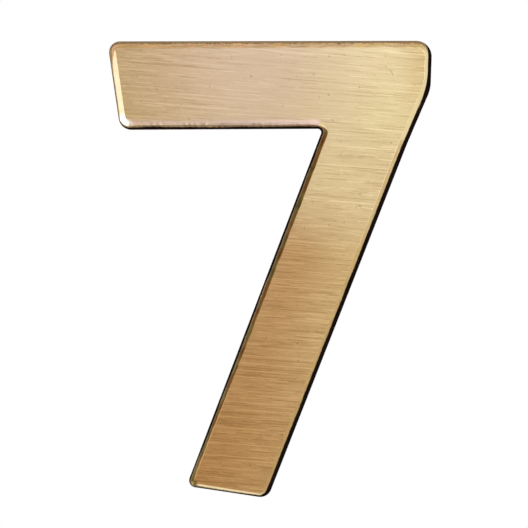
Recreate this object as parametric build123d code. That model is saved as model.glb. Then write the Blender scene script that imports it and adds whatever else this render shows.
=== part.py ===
"""House number seven for a door or wall, one solid casting in brass.

The casting is a flat bar bent like a seven. Its side walls taper towards the front for
draft, a flat bevel runs round the front edge, and the front is ground flat last. The
grinding leans a little, so the bevel is wide at the arm's end and narrow at the foot.
The back is flat, with two blind tapped holes for hidden fixing studs.

Millimetres. X runs to the right, Z up, and Y into the wall, so the number faces -Y. The
back lies on y = 0, and the origin is the mouth of the upper stud hole.
"""

import os
from math import cos, radians, sin, tan

from build123d import *

# Widest outline, measured between its sharp corners before they are rounded
top_width = 50.0
foot_corner_drop = 70.3  # top edge down to the lower corner of the foot
arm_depth = 13.64  # top edge down to the lower corner of the arm's free end
arm_taper = 0.24  # degrees that the arm's underside rises towards the stem
end_lean = 8.4  # degrees that the arm's free end leans inwards, and that the foot slopes
elbow_lean = 1.9  # degrees that the short upright edge above the elbow leans inwards
elbow_drop = 7.43  # top edge down to the elbow
shoulder_lean = 23.27  # degrees from upright, just below the elbow
shoulder_drop = 15.86  # top edge down to where the stem's outer edge straightens
stem_outer_lean = 21.46  # degrees from upright
stem_inner_lean = 20.92
stem_width = 13.86  # along the arm's underside, from the inner corner to the outer edge

# Corner radii of the widest outline
arm_top_radius = 1.68
right_top_radius = 2.4
elbow_radius = 5.7
shoulder_radius = 40.0
foot_low_radius = 1.8
foot_high_radius = 1.1
inner_corner_radius = 0.55
arm_low_radius = 2.0
front_elbow_radius = 12.0  # rubbed rounder in front than at the back
least_radius = 0.12  # what grinding leaves on the crispest corner of the face

# Section, from the back to the front
back_break = 0.2  # small slope that takes the burr off the back edge
wall_height = 4.6  # back to where the bevel starts
draft = 6.0  # degrees
bevel_height = 0.9  # at the top corner of the arm's free end
bevel_angle = 45.0  # degrees between the bevel and the wall behind the number
face_fall_right = 0.18  # degrees that the ground face drops towards the right
face_fall_down = 0.31  # degrees that it drops towards the foot

# Stud holes
stud_spacing = 40.0
tapping_radius = 1.65  # for an M4 thread
thread_depth = 3.4
mouth_break = 0.35
drill_point = 118.0  # degrees


def edge_line(x, z, heading):
    """Line through (x, z): its inward normal and its distance from the top left corner.

    heading is in degrees from +X towards +Z, going clockwise round the front view, so
    the inside is on the right-hand side of the way along the edge.
    """
    normal = (sin(radians(heading)), -cos(radians(heading)))
    return normal, normal[0] * x + normal[1] * z


def run(drop, lean):
    """How far a leaning edge moves sideways over a drop."""
    return drop * tan(radians(lean))


def widest_lines():
    """The edges of the widest outline by name, clockwise from the top left corner."""
    elbow_x = top_width - run(elbow_drop, elbow_lean)
    shoulder_x = elbow_x - run(shoulder_drop - elbow_drop, shoulder_lean)
    foot_x = shoulder_x - run(foot_corner_drop - shoulder_drop, stem_outer_lean)
    arm_low_x = run(arm_depth, end_lean)
    # the inner corner: on the arm's underside, one stem width from the outer edge
    rise = tan(radians(arm_taper))
    outer_at_arm = shoulder_x + run(shoulder_drop - arm_depth, stem_outer_lean)
    reach = outer_at_arm - stem_width - arm_low_x
    inner_x = arm_low_x + reach / (1 - rise * tan(radians(stem_outer_lean)))
    inner_z = -arm_depth + (inner_x - arm_low_x) * rise
    return {
        "top": edge_line(0, 0, 0),
        "above elbow": edge_line(top_width, 0, -90 - elbow_lean),
        "below elbow": edge_line(elbow_x, -elbow_drop, -90 - shoulder_lean),
        "stem outer": edge_line(shoulder_x, -shoulder_drop, -90 - stem_outer_lean),
        "foot": edge_line(foot_x, -foot_corner_drop, 180 - end_lean),
        "stem inner": edge_line(inner_x, inner_z, 90 - stem_inner_lean),
        "underside": edge_line(arm_low_x, -arm_depth, 180 + arm_taper),
        "arm end": edge_line(0, 0, 90 + end_lean),
    }


def corners(lines):
    """Where each line meets the one before it, as (x, z)."""
    points = []
    for (a, p), (b, q) in zip(lines[-1:] + lines[:-1], lines):
        cross = a[0] * b[1] - a[1] * b[0]
        points.append(((p * b[1] - q * a[1]) / cross, (a[0] * q - b[0] * p) / cross))
    return points


def inset(distance):
    """The lines of the widest outline, in order, moved inwards."""
    return [(normal, offset + distance) for normal, offset in widest_lines().values()]


wall_inset = (wall_height - back_break) * tan(radians(draft))
bevel_run = tan(radians(bevel_angle))  # sideways for each millimetre forwards
fall = (tan(radians(face_fall_right)), -tan(radians(face_fall_down)))
widest_radii = {  # at the corner where each edge begins
    "top": arm_top_radius,
    "above elbow": right_top_radius,
    "below elbow": elbow_radius,
    "stem outer": shoulder_radius,
    "foot": foot_low_radius,
    "stem inner": foot_high_radius,
    "underside": inner_corner_radius,
    "arm end": arm_low_radius,
}


def bevel_rise(x, z):
    """Height of the ground face above the foot of the bevel."""
    return bevel_height - fall[0] * x - fall[1] * z


def face_lines(lines):
    """Where the bevel planes that start on these lines meet the ground face."""
    tilted = []
    for normal, offset in lines:
        leaning = (normal[0] + bevel_run * fall[0], normal[1] + bevel_run * fall[1])
        tilted.append((leaning, offset + bevel_run * bevel_height))
    return tilted


def radii_after(steps, elbow_turn):
    """Corner radii once the outline has moved in: outer ones shrink, the inner one grows.

    The elbow takes the radius given for it instead.
    """
    radii = []
    for (edge, radius), step in zip(widest_radii.items(), steps):
        if edge == "below elbow":
            radii.append(elbow_turn)
        elif edge == "underside":
            radii.append(radius + step)
        else:
            radii.append(max(radius - step, least_radius))
    return radii


def section(points, depths, radii):
    """Closed face with rounded corners, each point at its own depth in front of the back."""
    x0, z0 = stud_place
    places = [Vector(x - x0, -depth, z - z0) for (x, z), depth in zip(points, depths)]
    return make_face(FilletPolyline(*places, radius=radii, close=True))


def level(distance, depth, elbow_turn):
    """Section parallel to the back, a distance inside the widest outline."""
    radii = radii_after([distance] * len(widest_radii), elbow_turn)
    return section(corners(inset(distance)), [depth] * len(radii), radii)


def ground_face():
    """The front, on its leaning plane."""
    points = corners(face_lines(inset(wall_inset)))
    rises = [bevel_rise(x, z) for x, z in points]
    radii = radii_after([wall_inset + rise * bevel_run for rise in rises], front_elbow_radius)
    return section(points, [wall_height + rise for rise in rises], radii)


def stem_middle(z):
    """Middle of the stem at a height."""
    sides = [widest_lines()["stem outer"], widest_lines()["stem inner"]]
    return sum((offset - normal[1] * z) / normal[0] for normal, offset in sides) / 2


def stud_hole():
    """Tapping-size hole with a broken mouth and a drill-point end, opening towards +Y."""
    tip = thread_depth + tapping_radius / tan(radians(drill_point / 2))
    half = Polyline(
        (0, 0),
        (tapping_radius + mouth_break, 0),
        (tapping_radius, -mouth_break),
        (tapping_radius, -thread_depth),
        (0, -tip),
        close=True,
    )
    return revolve(make_face(half), Axis.Y)


# The upper stud sits half way down the arm, straight above the stem's middle line
stud_height = -arm_depth / 2
stud_place = (stem_middle(stud_height - stud_spacing), stud_height)

blank = loft(
    [
        level(back_break, 0, elbow_radius),
        level(0, back_break, elbow_radius),
        level(wall_inset, wall_height, front_elbow_radius),
        ground_face(),
    ],
    ruled=True,
)
numeral = blank - stud_hole() - Pos(0, 0, -stud_spacing) * stud_hole()

os.makedirs("parts", exist_ok=True)
export_step(numeral, "parts/numeral_seven.step")
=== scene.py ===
"""Looks of a cast brass house number: a seven with a brushed face, worn bevel and dark sides.

The figure is one skin. A rounded profile is carried along the outline from the back edge,
up the drafted wall and over the bevel. A ruled sheet between the outer and the inner side
of the outline closes the front, and another, with two tapped holes, closes the back.

Sizes of the figure are in millimetres and are turned into metres when its mesh is made.
"""

import logging
import math
from dataclasses import dataclass
from enum import IntEnum
from typing import Any

import bpy
import numpy as np
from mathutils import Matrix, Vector


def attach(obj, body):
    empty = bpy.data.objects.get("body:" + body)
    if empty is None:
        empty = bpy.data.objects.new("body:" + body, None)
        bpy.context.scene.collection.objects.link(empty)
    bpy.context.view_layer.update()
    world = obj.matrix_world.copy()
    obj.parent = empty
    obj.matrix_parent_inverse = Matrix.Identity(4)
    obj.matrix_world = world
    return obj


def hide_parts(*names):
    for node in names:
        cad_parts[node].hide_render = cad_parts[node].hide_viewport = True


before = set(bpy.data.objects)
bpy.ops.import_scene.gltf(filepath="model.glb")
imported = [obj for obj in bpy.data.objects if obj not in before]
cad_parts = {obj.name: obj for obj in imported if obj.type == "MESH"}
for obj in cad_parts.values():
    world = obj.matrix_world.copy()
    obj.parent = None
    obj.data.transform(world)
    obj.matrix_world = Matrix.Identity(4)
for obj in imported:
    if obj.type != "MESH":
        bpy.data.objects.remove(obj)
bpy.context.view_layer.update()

MM = 0.001  # metres in a millimetre
NODE = "numeral_seven"
log = logging.getLogger("house_number")


class Edge(IntEnum):
    """Edges of the outline, clockwise in the front view from the top left corner."""

    TOP = 0
    RIGHT_END = 1
    FLANK = 2
    STEM_OUTER = 3
    FOOT = 4
    STEM_INNER = 5
    UNDERSIDE = 6
    ARM_END = 7


class Corner(IntEnum):
    """Corners of the outline, each named by its place and numbered by the edge it starts."""

    ARM_TOP = 0
    RIGHT_TOP = 1
    ELBOW = 2
    SHOULDER = 3
    FOOT_LOW = 4
    FOOT_HIGH = 5
    INNER = 6
    ARM_LOW = 7


Colour = tuple[float, float, float, float]
Triple = tuple[float, float, float]


def colour(red: int, green: int, blue: int) -> Colour:
    """Linear colour from screen levels of 0 to 255, by the usual screen curve."""
    screen = np.array([red, green, blue]) / 255.0
    linear = np.where(screen <= 0.04045, screen / 12.92, ((screen + 0.055) / 1.055) ** 2.4)
    return (*linear.tolist(), 1.0)


@dataclass(frozen=True)
class EdgeFinish:
    """Wear, colour and painted reflection along one edge of the figure, with lengths in
    millimetres.
    """

    bevel: Colour  # the clean bevel, with a painted reflection that is lighter or darker by the way the bevel faces
    bare: float  # brown part of the wall, times WALL_WEIGHT; below 0, black climbs the bevel
    stain: float  # how far the brown stain climbs a bevel that is 1 wide; on the stem's inner bevel it is partly painted shade
    blur: float  # half the width over which the bevel's colour runs into the face's
    patchy: float  # strength of orange and greenish patches on the bevel
    border_round: float  # reach of the rounding between bevel and face
    nick: float  # depth of the deepest nick in the rim
    rim_round: float = 0.08  # reach of the rounding between wall and bevel
    wobble: float = 0.02  # how far the border strays from its line
    follow: float = 0.0  # share of the face's colour in the bevel's
    creep: float = 0.0  # how far the face's colour comes over the border onto the bevel
    shift: float = 0.0  # how far the border lies inside its place on the true planes


# Bevel colours are partly painted reflection: cream on the bevels that face right and on the foot,
# orange-brown on the top one, which faces up
FINISHES = {
    Edge.TOP: EdgeFinish(
        colour(186, 146, 96), bare=0.60, stain=0.05, blur=0.16, patchy=1.0, border_round=0.50,
        nick=0.08, rim_round=0.10, wobble=0.06, follow=0.4, creep=0.08,
    ),
    Edge.RIGHT_END: EdgeFinish(
        colour(229, 212, 165), bare=-0.12, stain=0.06, blur=0.06, patchy=0.1, border_round=0.05,
        nick=0.02, creep=0.04, shift=-0.24,
    ),
    Edge.FLANK: EdgeFinish(
        colour(230, 211, 160), bare=-0.18, stain=0.03, blur=0.05, patchy=0.1, border_round=0.12,
        nick=0.02,
    ),
    Edge.STEM_OUTER: EdgeFinish(
        colour(186, 164, 108), bare=-0.18, stain=0.04, blur=0.08, patchy=0.6, border_round=0.12,
        nick=0.03, wobble=0.03, follow=0.6,
    ),
    Edge.FOOT: EdgeFinish(
        colour(236, 214, 170), bare=-0.02, stain=0.25, blur=0.06, patchy=0.2, border_round=0.10,
        nick=0.06, creep=0.14,
    ),
    # The stem's inner bevel is dark partly by brown stain and partly by painted shade, the dark
    # reflection of a bevel that faces up and left under the arm
    Edge.STEM_INNER: EdgeFinish(
        colour(186, 148, 98), bare=-0.07, stain=1.40, blur=0.10, patchy=0.3, border_round=0.12,
        nick=0.04, wobble=0.03,
    ),
    Edge.UNDERSIDE: EdgeFinish(
        colour(208, 184, 190), bare=0.10, stain=0.09, blur=0.30, patchy=0.2, border_round=0.50,
        nick=0.07, rim_round=0.14, follow=0.7, creep=-0.02,
    ),
    Edge.ARM_END: EdgeFinish(
        colour(204, 181, 148), bare=0.30, stain=0.04, blur=0.03, patchy=0.1, border_round=0.08,
        nick=0.03, shift=0.08,
    ),
}
# What wear adds near a corner: the amount at the middle of its arc, and how far that spreads
CORNER_WEAR: dict[str, dict[Corner, tuple[float, float]]] = {
    "rim_round": {
        Corner.ARM_TOP: (1.25, 2.1),
        Corner.RIGHT_TOP: (0.10, 2.1),
        Corner.ELBOW: (0.02, 2.1),
        Corner.FOOT_LOW: (0.05, 2.1),
        Corner.FOOT_HIGH: (0.08, 2.1),
        Corner.INNER: (0.10, 2.1),
        Corner.ARM_LOW: (0.02, 2.1),
    },
    "bare": {Corner.FOOT_HIGH: (0.16, 11.0)},
    "stain": {  # less than zero where the corner is clean
        Corner.FOOT_LOW: (0.12, 2.0),
        Corner.FOOT_HIGH: (0.30, 1.3),
        Corner.INNER: (-0.50, 0.8),
        Corner.ARM_LOW: (-0.30, 1.6),
    },
    "haze": {Corner.INNER: (0.85, 9.0)},
}
NOTCH = [Edge.UNDERSIDE, Edge.STEM_INNER]  # the edges that meet in the inner corner
WALL_WEIGHT = 0.12  # of a distance down the wall, where wear runs about eight times as deep
SHARP_ANGLE = 38.0  # degrees from which on two faces meet in a sharp edge


def tangent(degrees: float) -> float:
    """Tangent of an angle in degrees."""
    return math.tan(math.radians(degrees))


def smooth(t: np.ndarray) -> np.ndarray:
    """Ease from 0 to 1: three t squared less two t cubed, with t held between 0 and 1."""
    t = np.clip(t, 0.0, 1.0)
    return t * t * (3.0 - 2.0 * t)


def in_scene(name: str, data: bpy.types.ID) -> bpy.types.Object:
    """Make an object of a mesh, lamp or camera and link it into the scene."""
    made = bpy.data.objects.new(name, data)
    bpy.context.scene.collection.objects.link(made)
    return made


def aim(thing: bpy.types.Object, place: Triple, target: Triple) -> None:
    """Put a lamp or camera at a place, upright, looking at a target."""
    thing.location = place
    thing.rotation_mode = "QUATERNION"
    thing.rotation_quaternion = (Vector(target) - Vector(place)).to_track_quat("-Z", "Y")


@dataclass(frozen=True)
class Outline:
    """Eight-sided outline of the seven, x to the right and z up from its top left corner.

    Lengths are in millimetres and angles in degrees. The sizes are those of the casting's
    widest section, and every other section is worked out from them.
    """

    top_width: float = 50.0
    foot_corner_drop: float = 70.3
    arm_depth: float = 13.64
    arm_taper: float = 0.24
    end_lean: float = 8.4
    elbow_lean: float = 1.9
    elbow_drop: float = 7.43
    shoulder_lean: float = 23.27
    shoulder_drop: float = 15.86
    stem_outer_lean: float = 21.46
    stem_inner_lean: float = 20.92
    stem_width: float = 13.86
    radii: tuple[float, ...] = (1.68, 2.4, 5.7, 40.0, 1.8, 1.1, 0.55, 2.0)
    front_elbow_radius: float = 12.0
    least_radius: float = 0.12

    def lines(self) -> tuple[np.ndarray, np.ndarray]:
        """Work out the line of each edge, clockwise from the top edge.

        A line holds the points p where its inward normal times p equals its offset. The
        normal of an edge that heads h degrees from +x towards +z is (sin h, -cos h).

        Returns:
            The inward normals, eight by two, and the eight offsets.
        """
        elbow = self.top_width - self.elbow_drop * tangent(self.elbow_lean)
        shoulder = elbow - (self.shoulder_drop - self.elbow_drop) * tangent(self.shoulder_lean)
        slope = tangent(self.stem_outer_lean)
        foot = shoulder - (self.foot_corner_drop - self.shoulder_drop) * slope
        arm_low = self.arm_depth * tangent(self.end_lean)
        outer = shoulder + (self.shoulder_drop - self.arm_depth) * slope
        rise = tangent(self.arm_taper)
        reach = outer - self.stem_width - arm_low
        inner = arm_low + reach / (1.0 - rise * slope)
        points = np.array([
            (0.0, 0.0),
            (self.top_width, 0.0),
            (elbow, -self.elbow_drop),
            (shoulder, -self.shoulder_drop),
            (foot, -self.foot_corner_drop),
            (inner, (inner - arm_low) * rise - self.arm_depth),
            (arm_low, -self.arm_depth),
            (0.0, 0.0),
        ])
        headings = np.radians([
            0.0,
            -90.0 - self.elbow_lean,
            -90.0 - self.shoulder_lean,
            -90.0 - self.stem_outer_lean,
            180.0 - self.end_lean,
            90.0 - self.stem_inner_lean,
            180.0 + self.arm_taper,
            90.0 + self.end_lean,
        ])
        normals = np.stack([np.sin(headings), -np.cos(headings)], axis=1)
        return normals, np.sum(normals * points, axis=1)

    def shrunk_radii(self, steps: np.ndarray, elbow: float) -> np.ndarray:
        """Corner radii after moving in: outer ones shrink by the step, the inner one grows.

        Args:
            steps: How far each corner has moved in.
            elbow: Radius that the elbow takes instead.

        Returns:
            The eight radii.
        """
        radii = np.maximum(np.array(self.radii) - steps, self.least_radius)
        radii[Corner.INNER] = self.radii[Corner.INNER] + steps[Corner.INNER]
        radii[Corner.ELBOW] = elbow
        return radii


def meeting_points(normals: np.ndarray, offsets: np.ndarray) -> np.ndarray:
    """Where each line meets the one before it, by solving both line equations at once."""
    pairs = np.stack([np.roll(normals, 1, axis=0), normals], axis=1)
    values = np.stack([np.roll(offsets, 1), offsets], axis=1)
    return np.linalg.solve(pairs, values[..., None])[..., 0]


@dataclass(frozen=True)
class Mesh:
    """Cell counts of the figure's grids."""

    arc: int = 14  # round each corner, an even number
    top: int = 150
    right_end: int = 14
    flank: int = 22
    stem_outer: int = 160
    underside: int = 158
    across: int = 40  # along the foot and along the arm's end
    turn: int = 4  # across each rounded edge of the profile
    back_break: int = 1
    wall: int = 5
    bevel: int = 6
    border: int = 1
    hole_half: int = 12  # half the side of the patch of back cells that a stud hole replaces
    hole_ring: int = 4  # from that patch's edge to the hole's mouth
    thread_rings: int = 46
    tip_rings: int = 5

    def stem_inner(self) -> int:
        """Cells along the stem's inner edge, so that both long sides have as many."""
        long_side = self.top + self.right_end + self.flank + self.stem_outer
        return long_side + 2 * self.arc - self.underside

    def edges(self) -> list[int]:
        """Cells along each edge, clockwise from the top."""
        return [
            self.top,
            self.right_end,
            self.flank,
            self.stem_outer,
            self.across,
            self.stem_inner(),
            self.underside,
            self.across,
        ]

    def long_side(self) -> int:
        """Cells from the middle of the arm's end corner to the middle of the foot's."""
        return self.top + self.right_end + self.flank + self.stem_outer + 4 * self.arc

    def short_side(self) -> int:
        """Cells across the arm's end or the foot, with half an arc at each side."""
        return self.across + self.arc


def rounded_ring(points: np.ndarray, radii: np.ndarray, mesh: Mesh) -> np.ndarray:
    """Ring of points round a polygon with rounded corners.

    A corner turns by the angle a between its incoming direction d and its outgoing one, and
    its arc starts r tan(a/2) before it. The arc's point at angle t is the start plus
    r sin(t) d plus r (1 - cos t) m, where m is square to d towards the turn's centre.
    Points between two arcs are spaced evenly on the straight.

    Args:
        points: The sharp corners, eight by two.
        radii: The eight corner radii.
        mesh: Cell counts of arcs and edges.

    Returns:
        The ring, starting where the first corner's arc starts.
    """
    coming = points - np.roll(points, 1, axis=0)
    coming /= np.linalg.norm(coming, axis=1, keepdims=True)
    going = np.roll(coming, -1, axis=0)
    aslant = coming[:, 0] * going[:, 1] - coming[:, 1] * going[:, 0]
    turn = np.arctan2(aslant, np.sum(coming * going, axis=1))
    side = np.sign(turn)[:, None] * np.stack([-coming[:, 1], coming[:, 0]], axis=1)
    cut = (radii * np.tan(np.abs(turn) / 2.0))[:, None]
    starts = points - coming * cut
    ends = points + going * cut
    angle = np.abs(turn)[:, None] * np.linspace(0.0, 1.0, mesh.arc + 1)[None, :-1]
    along = (radii[:, None] * np.sin(angle))[..., None] * coming[:, None]
    aside = (radii[:, None] * (1.0 - np.cos(angle)))[..., None] * side[:, None]
    arcs = starts[:, None] + along + aside
    following = np.roll(starts, -1, axis=0)
    pieces = []
    for arc, end, start, cells in zip(arcs, ends, following, mesh.edges()):
        share = np.linspace(0.0, 1.0, cells, endpoint=False)[:, None]
        pieces += [arc, end + (start - end) * share]
    return np.concatenate(pieces)


def along_edges(values: list[Any], mesh: Mesh) -> np.ndarray:
    """Spread one value for each edge round the ring, easing from one to the next in the arcs.

    Args:
        values: The value on each edge, a number or a row of numbers.
        mesh: Cell counts of arcs and edges.

    Returns:
        A row of numbers for each point of the ring.
    """
    listed = np.array(values, float).reshape(len(Edge), -1)
    ease = smooth(np.linspace(0.0, 1.0, mesh.arc, endpoint=False))[:, None]
    pieces = []
    for before, here, cells in zip(np.roll(listed, 1, axis=0), listed, mesh.edges()):
        pieces += [before + (here - before) * ease, np.repeat(here[None], cells, axis=0)]
    return np.concatenate(pieces)


def ring_noise(length: np.ndarray, waves: tuple[int, int], seed: int) -> np.ndarray:
    """Smooth noise that closes on itself round the ring, with a spread of about one.

    It adds sine waves that fit the ring a whole number of times, with random phases and
    heights that fall as the square root of that number.

    Args:
        length: Place of each ring point, from 0 to 1 round the outline.
        waves: Fewest and most waves round the ring.
        seed: Seed of the phases.

    Returns:
        One value for each point of the ring.
    """
    random = np.random.default_rng(seed)
    counts = np.arange(waves[0], waves[1])
    phases = random.uniform(0.0, 2.0 * np.pi, counts.size)
    heights = random.uniform(0.5, 1.0, counts.size) / np.sqrt(counts)
    heights *= math.sqrt(2.0) / np.linalg.norm(heights)
    return np.sin(2.0 * np.pi * np.outer(length, counts) + phases) @ heights


def plane_noise(
    x: np.ndarray, z: np.ndarray, lengths: tuple[float, float], seed: int
) -> np.ndarray:
    """Smooth noise over the plane, with a spread of about one.

    It adds forty sine waves that run in random directions, with wavelengths picked evenly
    between the two given.

    Args:
        x: Places across.
        z: Places up.
        lengths: Shortest and longest wavelength.
        seed: Seed of the waves.

    Returns:
        One value for each place, in the shape of x.
    """
    waves = 40
    random = np.random.default_rng(seed)
    heading = random.uniform(0.0, 2.0 * np.pi, waves)
    pace = 2.0 * np.pi / random.uniform(*lengths, waves)
    phase = random.uniform(0.0, 2.0 * np.pi, waves)
    right, up = pace * np.cos(heading), pace * np.sin(heading)
    across = np.multiply.outer(x, right) + np.multiply.outer(z, up)
    return np.sin(across + phase).sum(axis=-1) * math.sqrt(2.0 / waves)


def carried_profile(
    rings: list[np.ndarray], reaches: list[np.ndarray], cells: list[int], turn: int
) -> np.ndarray:
    """Carry a profile with rounded corners along the outline.

    The profile runs straight from ring to ring. At each ring between the first and the last
    it leaves the straight one reach early and follows a quadratic Bezier curve, whose
    control points are the leaving point, the ring and the point one reach further on.

    Args:
        rings: The rings, each as many points by three, from the back to the front.
        reaches: Reach at each point of each ring between the first and the last.
        cells: Cells on each straight stretch.
        turn: Cells round each rounded corner.

    Returns:
        The skin, rows by ring points by three.
    """
    rows = [rings[0][None]]
    leaving = rings[0]
    bend = np.linspace(0.0, 1.0, turn + 1)[1:, None, None]
    for before, corner, after, reach, count in zip(rings, rings[1:], rings[2:], reaches, cells):
        back = before - corner
        ahead = after - corner
        near = corner + back * (reach / np.linalg.norm(back, axis=1))[:, None]
        far = corner + ahead * (reach / np.linalg.norm(ahead, axis=1))[:, None]
        share = np.linspace(0.0, 1.0, count + 1)[1:, None, None]
        rows.append(leaving + (near - leaving) * share)
        rows.append((1.0 - bend) ** 2 * near + 2.0 * bend * (1.0 - bend) * corner + bend**2 * far)
        leaving = far
    share = np.linspace(0.0, 1.0, cells[-1] + 1)[1:, None, None]
    rows.append(leaving + (rings[-1] - leaving) * share)
    return np.concatenate(rows)


def ruled_sheet(ring: np.ndarray, mesh: Mesh) -> np.ndarray:
    """Fill the inside of a ring with a grid.

    The grid's rows run from the outer long side of the ring, which goes from the arm's end
    over the elbow to the foot, straight across to its inner long side. Near the arm's end
    and the foot the rows bend to the rounded short sides, by an amount that falls as the
    twelfth power of the distance along.

    Args:
        ring: The ring, points by any number of columns.
        mesh: Cell counts.

    Returns:
        The grid, long side by short side by the ring's columns.
    """
    start = np.roll(ring, -mesh.arc // 2, axis=0)
    long_side, short_side = mesh.long_side(), mesh.short_side()
    outer = start[: long_side + 1]
    foot = start[long_side : long_side + short_side + 1]
    inner = start[long_side + short_side : 2 * long_side + short_side + 1][::-1]
    end = np.concatenate([start[2 * long_side + short_side :], start[:1]])[::-1]
    u = np.linspace(0.0, 1.0, long_side + 1)[:, None, None]
    v = np.linspace(0.0, 1.0, short_side + 1)[None, :, None]
    sheet = outer[:, None] * (1.0 - v) + inner[:, None] * v
    fade = 12
    at_end = end[None] - sheet[:1]
    at_foot = foot[None] - sheet[-1:]
    return sheet + (1.0 - u) ** fade * at_end + u**fade * at_foot


# Single numbers that the mesh holds at each point, and that the material reads
VALUES = (
    "rim",  # distance up the profile from the rim, less than zero and times WALL_WEIGHT below it
    "border",  # distance up the profile from the face's border
    *("bare", "stain", "follow", "blur", "creep", "patchy"),  # as in EdgeFinish
    "haze",  # strength of a dull film on the bevel
    "rounded",  # reach of the rim's rounding
    "back",  # 1 on the back
)


@dataclass
class Patch:
    """Grid of points, what the material reads at each, and quads."""

    points: np.ndarray
    values: np.ndarray  # the columns of VALUES, then red, green and blue of the clean bevel with its painted reflection
    quads: np.ndarray


def grid_quads(rows: int, columns: int, closed: bool) -> np.ndarray:
    """Corner numbers of a grid's quads, row by row.

    Args:
        rows: Rows of points.
        columns: Columns of points.
        closed: Whether the last column joins the first.

    Returns:
        The quads, any number by four, turning from the columns' way to the rows' way.
    """
    numbers = np.arange(rows * columns).reshape(rows, columns)
    if closed:
        numbers = np.concatenate([numbers, numbers[:, :1]], axis=1)
    corners = [numbers[:-1, :-1], numbers[:-1, 1:], numbers[1:, 1:], numbers[1:, :-1]]
    return np.stack(corners, axis=-1).reshape(-1, 4)


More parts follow.
